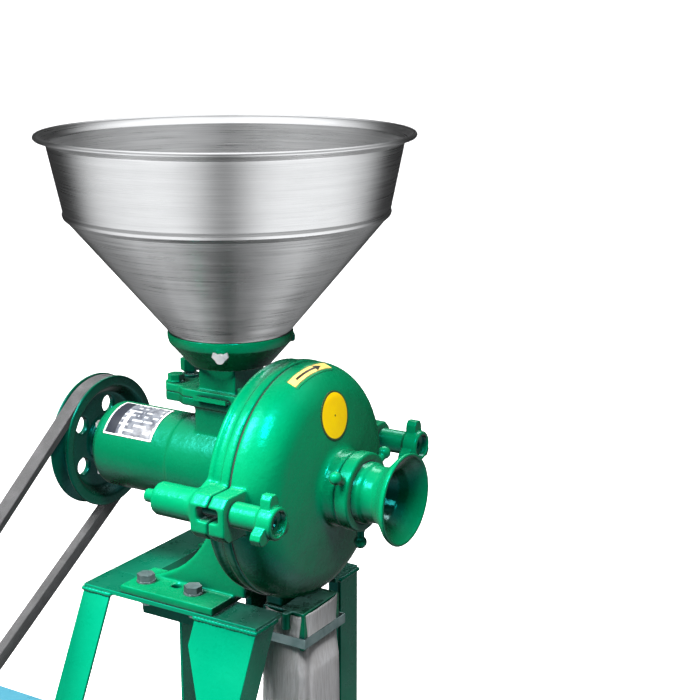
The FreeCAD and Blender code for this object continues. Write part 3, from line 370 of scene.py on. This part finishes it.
def cast_iron(name, colour):
    """Bare grey iron with an open grain."""
    s = Shader(name, Metallic=0.85, IOR=1.5)
    grain = s.noise(700, 4, 0.7)
    tint = s.mix(s.ramp(grain, 0.35, 0.65), scaled(colour, 0.6), colour)
    rough = s.ramp(grain, 0.3, 0.7, 0.38, 0.6)
    s.set(Base_Color=tint, Roughness=rough, Normal=s.bump(grain, 0.00012))
    return s.material


def dull_sheet(name, colour, rough_low, rough_high, grain_scale, depth):
    """Fibre gasket, moulded fan and other dull non-metals."""
    s = Shader(name, IOR=1.45)
    grain = s.noise(grain_scale, 4, 0.7)
    tint = s.mix(s.ramp(grain, 0.3, 0.7), scaled(colour, 0.7), scaled(colour, 1.25))
    rough = s.ramp(grain, 0.3, 0.7, rough_low, rough_high)
    s.set(Base_Color=tint, Roughness=rough, Normal=s.bump(grain, depth))
    return s.material


def belt_rubber(name):
    """Wrapped V-belt: fine diagonal weave on black rubber, worn grey in places."""
    s = Shader(name, IOR=1.5, Sheen_Weight=0.04, Sheen_Roughness=0.35, Specular_IOR_Level=0.55)
    x, y, z = s.split(s.place)
    strands = []
    for slant in (0.7, -0.7):
        way = s.math("ADD", x, s.times(s.math("ADD", y, z), slant))
        strands.append(s.math("SINE", s.times(way, 2 * math.pi / (1.1 * MM))))
    weave = s.times(*strands)
    wear = s.ramp(s.noise(60, 4, 0.65), 0.3, 0.75)
    tint = s.mix(s.ramp(weave, -0.8, 0.8), (0.012, 0.012, 0.013), (0.038, 0.038, 0.04))
    tint = s.mix(s.times(wear, 0.45), tint, (0.075, 0.075, 0.08))
    rough = s.ramp(s.noise(90, 3), 0.3, 0.7, 0.42, 0.6)
    s.set(Base_Color=tint, Roughness=rough, Normal=s.bump(weave, 0.00012))
    return s.material


def woven_cotton(name):
    """Pale plain-weave cloth with slubs and a few flour stains."""
    s = Shader(name, Roughness=0.88, Sheen_Weight=0.5, Sheen_Roughness=0.4, IOR=1.4)
    x, y, z = s.split(s.place)
    around = s.math("ADD", x, s.times(y, 0.92))
    warp = s.math("SINE", s.times(around, 2 * math.pi / (1.4 * MM)))
    weft = s.math("SINE", s.times(z, 2 * math.pi / (1.3 * MM)))
    cloth = s.math("MAXIMUM", warp, weft)
    slub = s.noise(1.0, 3, 0.6, s.vector("MULTIPLY", s.place, (500, 500, 40)))
    stain = s.ramp(s.noise(22, 4, 0.7), 0.45, 0.8)
    tint = s.mix(s.ramp(slub, 0.3, 0.7), (0.62, 0.61, 0.62), (0.84, 0.84, 0.86))
    tint = s.mix(s.times(stain, 0.25), tint, (0.66, 0.60, 0.50))
    tint = s.mix(s.times(s.ramp(cloth, -0.4, 0.3, 1.0, 0.0), 0.35), tint, (0.45, 0.45, 0.47))
    s.set(Base_Color=tint, Normal=s.bump(cloth, 0.00016))
    return s.material


def printed(s, tint, smear, gloss):
    """Ink on a thin plate or sticker. gloss is its lowest and highest roughness."""
    s.set(Base_Color=tint, Roughness=s.ramp(smear, 0.3, 0.7, *gloss), Normal=s.bump(s.noise(300, 2), 0.0001))
    return s.material


# the nameplate is rolled round the bearing tube: radius of its face, angle where it starts, angle it spans
PLATE_RADIUS, PLATE_START, PLATE_SPAN = 45.3, math.radians(-2), math.radians(62)


def rating_print(name):
    """The housing's plate: pale border, a dark heading block, dark fields with blank bars, a pale block.
    Measures are in mm on the plate as if unrolled."""
    low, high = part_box("nameplate")
    s = Shader(name, IOR=1.4, Specular_IOR_Level=0.3)
    x, y, z = s.split(s.vector("SUBTRACT", s.place, tuple(SHAFT)))
    across = s.times(s.math("SUBTRACT", x, low.x - SHAFT.x), 1 / MM)
    turn = s.math("ARCTAN2", s.times(y, -1.0), z)
    down = s.times(s.math("ADD", turn, -PLATE_START), PLATE_RADIUS)
    wide, tall = (high.x - low.x) / MM, PLATE_SPAN * PLATE_RADIUS
    inside = s.times(s.between(across, 1.6, wide - 1.6, 0.3), s.between(down, 1.6, tall - 1.6, 0.3))
    row = s.math("DIVIDE", down, 6.4)
    line = s.math("FRACT", row)
    cell = s.join(s.math("DIVIDE", across, 7.5), s.times(s.math("FLOOR", row), 3.7), 0.0)
    bars = s.times(s.between(line, 0.3, 0.68, 0.06), s.ramp(s.noise(1.0, 1, 0.5, cell), 0.47, 0.50))
    field = s.mix(s.ramp(s.noise(130, 3), 0.3, 0.7), (0.035, 0.04, 0.055), (0.12, 0.13, 0.15))
    tint = s.mix(s.times(bars, 0.6), field, (0.50, 0.52, 0.54))
    heading = s.between(across, 2.4, 15.0, 0.3)
    tint = s.mix(heading, tint, (0.015, 0.018, 0.025))
    block = s.times(s.between(across, 19.0, 23.5, 0.4), s.ramp(down, tall * 0.3, tall * 0.34))
    tint = s.mix(s.times(block, 0.85), tint, (0.62, 0.63, 0.65))
    smear = s.noise(60, 4, 0.65)
    border = s.mix(s.ramp(smear, 0.3, 0.7), (0.74, 0.72, 0.73), (0.86, 0.85, 0.86))
    tint = s.mix(inside, border, tint)
    return printed(s, tint, smear, (0.28, 0.45))


def strip_print(name, colour, surround):
    """Turning direction strip: a thin plain arrow on yellow, painted over along both sides."""
    s = Shader(name, IOR=1.4, Specular_IOR_Level=0.3)
    x, y = s.split(s.vector("SUBTRACT", s.place, tuple(middle("direction_plate"))))[:2]
    side = s.math("ABSOLUTE", s.times(x, 1 / MM))
    run = s.times(y, 1 / MM)
    point = s.times(s.math("SUBTRACT", 19.0, run), 0.36)
    head = s.times(s.between(run, 8.0, 19.0, 0.2), s.ramp(s.math("SUBTRACT", point, side), -0.2, 0.2))
    shaft = s.times(s.between(run, -24.0, 9.0, 0.2), s.ramp(side, 1.0, 1.4, 1.0, 0.0))
    ink = s.math("MAXIMUM", head, shaft)
    smear = s.noise(70, 4, 0.65)
    tint = s.mix(s.ramp(smear, 0.3, 0.75), colour, scaled(colour, 1.12, 0.02))
    tint = s.mix(ink, tint, (0.02, 0.02, 0.015))
    tint = s.mix(s.between(side, 4.1, 4.7, 0.15), tint, (0.05, 0.05, 0.02))
    tint = s.mix(s.ramp(side, 4.6, 4.9), tint, surround)
    return printed(s, tint, smear, (0.26, 0.42))


def badge_print(name, colour):
    """Round badge with a thin dark edge and a dot at its centre."""
    s = Shader(name, IOR=1.4, Specular_IOR_Level=0.3)
    y, z = s.split(s.vector("SUBTRACT", s.place, tuple(middle("round_badge"))))[1:]
    radius = s.times(s.vector("LENGTH", s.join(0.0, y, z)), 1 / MM)
    smear = s.noise(55, 4, 0.65)
    tint = s.mix(s.ramp(smear, 0.3, 0.75), colour, scaled(colour, 1.08))
    tint = s.mix(s.ramp(s.noise(850, 2, 0.6), 0.68, 0.76, 0.0, 0.3), tint, (0.35, 0.18, 0.0))
    tint = s.mix(s.ramp(radius, 0.9, 1.3, 1.0, 0.0), tint, (0.10, 0.07, 0.01))
    tint = s.mix(s.ramp(radius, 21.6, 22.2), tint, (0.03, 0.06, 0.02))
    return printed(s, tint, smear, (0.28, 0.42))


def floor_material():
    s = Shader("floor_pale", Roughness=0.62, IOR=1.4)
    cloud = s.noise(1.3, 3, 0.5)
    tint = s.mix(s.ramp(cloud, 0.3, 0.7), (0.86, 0.86, 0.86), (0.90, 0.90, 0.905))
    s.set(Base_Color=tint, Normal=s.bump(s.noise(60, 3), 0.0004))
    return s.material


def make_materials():
    # deep and deep_blue are painted shade: paint() darkens recesses, corners and the stand's upper faces
    # towards them
    green, deep = (0.0, 0.175, 0.068), (0.0, 0.022, 0.014)
    blue, deep_blue = (0.03, 0.12, 0.165), (0.01, 0.02, 0.03)
    made = [
        paint("green_casting", green, deep),
        paint("green_stand", (0.0, 0.20, 0.10), deep, peel=0.7, lumps=0.35, gloss=0.28, top_shade=0.7),
        # a darker copy of the green paint: painted shade on the bearing housing
        paint("housing_green_shaded", (0.0, 0.105, 0.042), deep),
        # a darker copy again: painted shade on the pulley's recessed web
        paint("pulley_green_shaded", (0.0, 0.05, 0.025), deep, gloss=0.26),
        paint("motor_paint", blue, deep_blue, peel=0.8, lumps=0.5, gloss=0.3),
        spun_steel("stainless", "Z", HOPPER, (0.86, 0.86, 0.86), 0.29, 0.7, 900, 0.00003),
        spun_steel("machined_steel", "X", SHAFT, (0.58, 0.58, 0.59), 0.25, 0.5, 1600, 0.00003),
        spun_steel("bearing_steel", "X", SHAFT, (0.72, 0.72, 0.74), 0.12, 0.2, 1500, 0.00001),
        spun_steel("motor_core", "X", MOTOR, (0.36, 0.34, 0.32), 0.38, 0.2, 2200, 0.00006),
        zinc("zinc_plated", (0.60, 0.63, 0.67), (0.84, 0.85, 0.84)),
        # a darker copy of the zinc plating: painted shade on the foot bolts and the sleeve band
        zinc("zinc_shaded", (0.09, 0.15, 0.15), (0.18, 0.25, 0.25)),
        cast_iron("grinding_iron", (0.20, 0.20, 0.21)),
        dull_sheet("gasket_fibre", (0.012, 0.02, 0.015), 0.75, 0.95, 900, 0.0001),
        dull_sheet("fan_plastic", (0.05, 0.05, 0.05), 0.4, 0.55, 1400, 0.00003),
        belt_rubber("belt_rubber"),
        woven_cotton("sleeve_cloth"),
        badge_print("yellow_label", (0.96, 0.60, 0.0)),
        strip_print("direction_print", (0.80, 0.58, 0.15), green),
        rating_print("name_plate"),
    ]
    # Blender adds .001 to a name that the frame's own materials already have
    return {material.name.split(".")[0]: material for material in made}


# ------------------------------------------------------------------ mesh helpers
def new_object(name, mesh, slot, body="stand", replaces=()):
    """An object that rides a body and wears its slot's material."""
    obj = bpy.data.objects.new(name, mesh)
    scene.collection.objects.link(obj)
    mesh.materials.append(MATERIALS[slot])
    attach(obj, body)
    if replaces:
        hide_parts(*replaces)
    return obj


def mesh_from(name, points, faces):
    mesh = bpy.data.meshes.new(name)
    mesh.from_pydata([tuple(p) for p in points], [], faces)
    mesh.validate()
    mesh.polygons.foreach_set("use_smooth", [True] * len(mesh.polygons))
    mesh.update()
    return mesh


def rounded(corners, steps=5):
    """A polyline with arcs at its corners. corners are (u, v, radius)."""
    out = []
    n = len(corners)
    for i, (u, v, radius) in enumerate(corners):
        here = Vector((u, v))
        if radius <= 0 or i in (0, n - 1):
            out.append(here)
            continue
        to_last = Vector(corners[i - 1][:2]) - here
        to_next = Vector(corners[i + 1][:2]) - here
        half = to_last.angle(to_next) / 2
        reach = min(radius / math.tan(half), to_last.length * 0.48, to_next.length * 0.48)
        a = here + to_last.normalized() * reach
        b = here + to_next.normalized() * reach
        for k in range(steps + 1):
            t = k / steps
            out.append(a * (1 - t) ** 2 + here * (2 * t * (1 - t)) + b * t ** 2)
    return out


def loft(name, points, rows, closed=True):
    """Skins equal rings of points, the last ring joined to the first. closed joins each ring's two ends."""
    faces = []
    rings = len(points) // rows
    for i in range(rings):
        j = (i + 1) % rings
        for k in range(rows if closed else rows - 1):
            m = (k + 1) % rows
            faces.append((i * rows + k, j * rows + k, j * rows + m, i * rows + m))
    mesh = mesh_from(name, points, faces)
    repair(mesh)
    return mesh


def lathe(name, profile, centre, axis, turns, closed=True):
    """Turns an outline of (along, radius) in mm round an axis through centre."""
    base = {"X": (X, Y, Z), "Z": (Z, X, Y)}[axis]
    points = []
    for i in range(turns):
        a = 2 * math.pi * i / turns
        out = base[1] * math.cos(a) + base[2] * math.sin(a)
        points += [centre + base[0] * (p.x * MM) + out * (p.y * MM) for p in profile]
    return loft(name, points, len(profile), closed)


def repair(mesh):
    """Outward normals, doubled points merged."""
    bm = bmesh.new()
    bm.from_mesh(mesh)
    bmesh.ops.remove_doubles(bm, verts=bm.verts, dist=1e-6)
    bmesh.ops.recalc_face_normals(bm, faces=bm.faces)
    bm.to_mesh(mesh)
    bm.free()


def modifier(obj, kind, **settings):
    made = obj.modifiers.new(kind.lower(), kind)
    for key, value in settings.items():
        setattr(made, key, value)


def cast(obj, voxel, smooth):
    """Rounds a casting's edges and inner corners as sand moulding does."""
    modifier(obj, "REMESH", mode="VOXEL", voxel_size=voxel, use_smooth_shade=True)
    modifier(obj, "SMOOTH", factor=0.5, iterations=smooth)


def soften(obj, width):
    """Small round edges on rolled, pressed and machined parts."""
    modifier(obj, "WELD", merge_threshold=1e-5)
    modifier(obj, "BEVEL", width=width, segments=2, limit_method="ANGLE", angle_limit=math.radians(30),
             use_clamp_overlap=True, harden_normals=True)


make_camera()
make_world()
LAMPS, SUN = make_light()
MATERIALS = make_materials()

# ------------------------------------------------------------------ finish on every CAD node
SLOT_OF = {part["node"]: part["material_slot"] for part in frame["record"]["subparts"]}
# nodes whose finish differs from the rest of their slot; the housing, the pulley, the foot bolts and the
# sleeve band wear darker copies that paint in their shade
OWN_FINISH = {
    "direction_plate": "direction_print", "closing_studs": "green_casting", "foot_bolts": "zinc_shaded",
    "mill_pulley": "pulley_green_shaded", "sleeve_band": "zinc_shaded", "shaft_housing": "housing_green_shaded",
}
# voxel size in mm and rounds of smoothing
CASTINGS = {
    "rear_casing": (1.6, 5), "shaft_housing": (1.5, 5), "front_cover": (1.5, 5), "feed_funnel": (1.2, 4),
    "mill_pulley": (1.1, 3), "outlet_trumpet": (1.0, 4), "lock_ring": (0.8, 3), "star_nut_front": (0.7, 3),
    "star_nut_rear": (0.7, 3), "funnel_bolts": (0.6, 2), "flour_spout": (0.8, 2), "bearing_cap": (0.9, 2),
    "motor_pulley": (0.9, 2), "terminal_box": (1.0, 3), "motor_end_bells": (1.1, 3),
}
LEGS = ("leg_front_left", "leg_front_right", "leg_rear_left", "leg_rear_right")
STAND_BARS = (
    "frame_rail_front", "frame_rail_rear", "frame_rail_left", *LEGS, "foot_plates", "leg_braces",
    "motor_bars", "motor_struts", "motor_plate",
)
SMALL_PARTS = (
    "foot_bolts", "hopper_wing_screw", "housing_screws", "cap_screws", "motor_bolts", "mill_pulley_nut",
    "feed_gate", "sleeve_band", "motor_frame", "motor_fan_cover", "nameplate",
)

for node_name, node in NODES.items():
    node.data.materials.clear()
    node.data.materials.append(MATERIALS[OWN_FINISH.get(node_name, SLOT_OF[node_name])])
    node.visible_glossy = False
for node_name, (voxel, smooth) in CASTINGS.items():
    cast(NODES[node_name], voxel * MM, smooth)
for node_name in STAND_BARS:
    soften(NODES[node_name], 0.9 * MM)
for node_name in SMALL_PARTS:
    soften(NODES[node_name], 0.35 * MM)


# ------------------------------------------------------------------ hopper
def make_hopper():
    """Spun steel sheet: spout, cone, ridge, upper wall and a flared lip rolled under at its edge."""
    low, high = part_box("hopper")
    bottom, top, rim = (low.z - FEED.z) / MM, (high.z - FEED.z) / MM, (high.x - low.x) / 2 / MM
    inset, bead = 0.88, 2.3    # from the outer face to the inner one, radius of the rolled edge
    shoulder = 141.6           # top of the spout, where the cone starts
    edge_r, edge_z = rim - bead, top - bead
    # height above the shaft, radius, radius of the corner, in mm
    wall = [
        (bottom, 56.8, 0), (shoulder, 56.8, 1), (shoulder + 1, 61.0, 1.5),
        (252.6, 152.8, 3), (256.6, 157.4, 1.4), (259.4, 158.2, 1.4), (262.2, 157.4, 1.6),
        (326.0, 170.4, 2.5), (edge_z - 0.8, edge_r - 1.4, 0)]
    lining = [(z + (0.66 if z > shoulder + 0.1 else 0), r - inset, corner) for z, r, corner in reversed(wall)]
    roll = []
    for k in range(13):
        a = math.radians(-130 + 25 * k)
        roll.append(Vector((edge_z + bead * math.sin(a), edge_r + bead * math.cos(a))))
    mesh = lathe("hopper_shell", rounded(wall, 6) + roll + rounded(lining, 6), FEED, "Z", 256)
    return new_object("hopper_shell", mesh, "stainless", "hopper", ["hopper"])


HOPPER_SHELL = make_hopper()
# the spun steel shows the studio's panels and not the lamps' hot spots
link_lamps(LAMPS, HOPPER_SHELL, "EXCLUDE")


# ------------------------------------------------------------------ belt
MILL_PITCH, MOTOR_PITCH = 63 * MM, 43 * MM    # radii of the belt's middle on its two pulleys


def belt_line(steps=96):
    """Points and outward directions along the belt's middle, round both pulleys and along both runs."""
    apart = MOTOR - MILL_WHEEL
    apart.x = 0
    along = apart.normalized()
    across = Vector((0, -along.z, along.y))
    lean = math.asin((MILL_PITCH - MOTOR_PITCH) / apart.length)
    arcs = []
    for centre, radius, first, turn in (
            (Vector((0, 0, 0)), MILL_PITCH, math.pi / 2 - lean, math.pi + 2 * lean),
            (apart, MOTOR_PITCH, lean - math.pi / 2, math.pi - 2 * lean)):
        arc = []
        for k in range(steps + 1):
            a = first + turn * k / steps
            out = along * math.cos(a) + across * math.sin(a)
            arc.append((centre + out * radius, out))
        arcs.append(arc)
    line = []
    for arc, after in (arcs, arcs[::-1]):
        start, out = arc[-1]
        line += arc + [(start.lerp(after[0][0], k / steps), out) for k in range(1, steps)]
    return line


def make_belt():
    """Wrapped V-belt with rounded corners."""
    low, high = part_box("drive_belt")
    centre = Vector(((low.x + high.x) / 2, MILL_WHEEL.y, MILL_WHEEL.z))
    corners = [(8.5, 5.5, 1.3), (5.1, -5.5, 1.3), (-5.1, -5.5, 1.3), (-8.5, 5.5, 1.3)]
    section = rounded([corners[-1], *corners, corners[0]], 4)[1:-1]
    points = []
    for place, out in belt_line():
        points += [centre + place + out * (p.y * MM) + X * (p.x * MM) for p in section]
    mesh = loft("belt_wrapped", points, len(section))
    new_object("belt_wrapped", mesh, "belt_rubber", replaces=["drive_belt"])


make_belt()


# ------------------------------------------------------------------ cloth flour sleeve
# how many round the sleeve, first angle, turn towards the bottom, share of the depth
FOLDS = ((5, 0.4, 0.9, 0.45), (8, 2.1, -0.7, 0.30), (13, 4.0, 1.3, 0.16), (21, 1.2, -1.9, 0.09))
SQUARENESS = 0.42    # power of the rounded rectangle that the spout gives the sleeve
CLOTH = 0.8 * MM
TURNS = 240


def sleeve_wall(top, bottom, rows, outward):
    """Points of a cloth tube gathered at the band above and hanging in folds that deepen downwards."""
    low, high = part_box("flour_sleeve")
    band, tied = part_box("sleeve_band")
    centre = (low + high) / 2
    points = []
    for i in range(rows + 1):
        z = top + (bottom - top) * i / rows
        fall = max(0.0, min(1.0, (band.z - z) / (band.z - low.z)))
        rise = max(0.0, min(1.0, (z - tied.z) / (20 * MM)))
        loose = min(1.0, fall * 6)
        spread = 1.6 * loose * loose + 2.0 * fall
        depth = (0.15 + 0.6 * rise + 4.6 * loose * (0.45 + 0.55 * fall)) * MM
        half_x, half_y = (25.3 + spread + 0.9 * rise) * MM, (34.3 + spread + 0.9 * rise) * MM
        for k in range(TURNS):
            a = 2 * math.pi * k / TURNS
            c, d = math.cos(a), math.sin(a)
            x = half_x * math.copysign(abs(c) ** SQUARENESS, c)
            y = half_y * math.copysign(abs(d) ** SQUARENESS, d)
            out = Vector((c / half_x, d / half_y, 0)).normalized()
            fold = sum(share * math.sin(count * a + first + turn * fall)
                       for count, first, turn, share in FOLDS)
            sag = 1.2 * MM * loose * math.sin(3 * a + 5 * fall) + 1.5 * MM * rise * math.sin(2 * a + 0.6)
            points.append(Vector((centre.x + x, centre.y + y, z + sag)) + out * (depth * fold + outward))
    return points


def cloth_tube(name, top, bottom, rows, outward):
    """The tube and its length round, measured half way down."""
    points = sleeve_wall(top, bottom, rows, outward)
    faces = []
    for i in range(rows):
        for k in range(TURNS):
            m = (k + 1) % TURNS
            faces.append((i * TURNS + k, i * TURNS + m, (i + 1) * TURNS + m, (i + 1) * TURNS + k))
    made = new_object(name, mesh_from(name, points, faces), "sleeve_cloth")
    modifier(made, "SOLIDIFY", thickness=CLOTH, offset=0)
    ring = points[rows // 2 * TURNS:(rows // 2 + 1) * TURNS]
    return made, sum((ring[i] - ring[i - 1]).length for i in range(TURNS))


def make_sleeve():
    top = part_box("flour_spout")[1].z - 1.5 * MM
    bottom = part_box("flour_sleeve")[0].z + 2 * MM
    hem_top, hem_bottom = bottom + 13 * MM, bottom - 0.6 * MM
    hem, hem_round = cloth_tube("sleeve_hem", hem_top, hem_bottom, 8, 0.9 * MM)
    sleeve, sleeve_round = cloth_tube("sleeve_cloth_tube", top, bottom, 96, 0.0)
    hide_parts("flour_sleeve")


make_sleeve()


# ------------------------------------------------------------------ welds
def outline(node, level):
    """Closed outlines of a CAD node's flat faces at this height."""
    mesh = NODES[node].data
    at = [v.co.copy() for v in mesh.vertices]
    count = {}
    for face in mesh.polygons:
        if all(abs(at[i].z - level) < 0.2 * MM for i in face.vertices):
            for a, b in face.edge_keys:
                key = tuple(sorted((tuple(round(q, 5) for q in at[a]), tuple(round(q, 5) for q in at[b]))))
                count[key] = count.get(key, 0) + 1
    links = {}
    for (a, b), times in count.items():
        if times == 1:
            links.setdefault(a, []).append(b)
            links.setdefault(b, []).append(a)
    loops = []
    while links:
        start = min(links)
        loop, here = [start], start
        while links.get(here):
            after = links[here].pop()
            links[after].remove(here)
            here = after
            if here != start:
                loop.append(here)
        links = {key: value for key, value in links.items() if value}
        loops.append([Vector(p) for p in loop])
    return loops


def weld(name, loop, radius, sides=10):
    """A bead laid in short overlapping runs, 4.2 mm each, along a closed outline."""
    path = []
    for i, a in enumerate(loop):
        b = loop[(i + 1) % len(loop)]
        steps = max(1, round((b - a).length / (0.9 * MM)))
        path += [a.lerp(b, k / steps) for k in range(steps)]
    points = []
    run = 0.0
    for i, here in enumerate(path):
        along = (path[(i + 3) % len(path)] - path[i - 3]).normalized()
        out = along.cross(Z).normalized()
        run += (here - path[i - 1]).length
        ripple = abs(math.sin(math.pi * run / (4.2 * MM)))
        swell = 0.82 + 0.18 * ripple + 0.07 * math.sin(run * 310)
        for k in range(sides):
            a = 2 * math.pi * k / sides
            points.append(here + (out * math.cos(a) + Z * math.sin(a)) * (radius * swell))
    new_object(name, loft(name, points, sides), "green_stand")


def make_welds():
    for leg in LEGS:
        low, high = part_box(leg)
        for end, level in (("foot", low.z), ("top", high.z)):
            for i, loop in enumerate(outline(leg, level)):
                weld(f"weld_{leg}_{end}_{i}", loop, 2.6 * MM)


make_welds()


# ------------------------------------------------------------------ paint over the studs' rear ends
def make_stud_ends():
    """A cap of paint with a short skirt over each stud, (along, radius, corner) in mm."""
    low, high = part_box("closing_studs")
    stud = (low + high) / 2
    stud_radius = 6 * MM
    profile = rounded([(-0.6, 0.0, 0), (-0.6, 6.4, 1.5), (14.5, 6.9, 1.0), (15.5, 6.0, 0)], 5)
    for side, y in (("front", low.y + stud_radius), ("rear", high.y - stud_radius)):
        name = "stud_end_" + side
        mesh = lathe(name, profile, Vector((low.x, y, stud.z)), "X", 48, closed=False)
        new_object(name, mesh, "green_casting")


make_stud_ends()


# ------------------------------------------------------------------ floor
def make_floor():
    """A pale ground far wider than any view."""
    reach = 150
    points = [(-reach, -reach, 0), (reach, -reach, 0), (reach, reach, 0), (-reach, reach, 0)]
    floor = bpy.data.objects.new("floor", mesh_from("floor", points, [(0, 1, 2, 3)]))
    scene.collection.objects.link(floor)
    floor.data.materials.append(floor_material())
    floor.visible_diffuse = False
    floor.visible_glossy = False
    return floor


link_lamps([SUN], make_floor(), "INCLUDE")
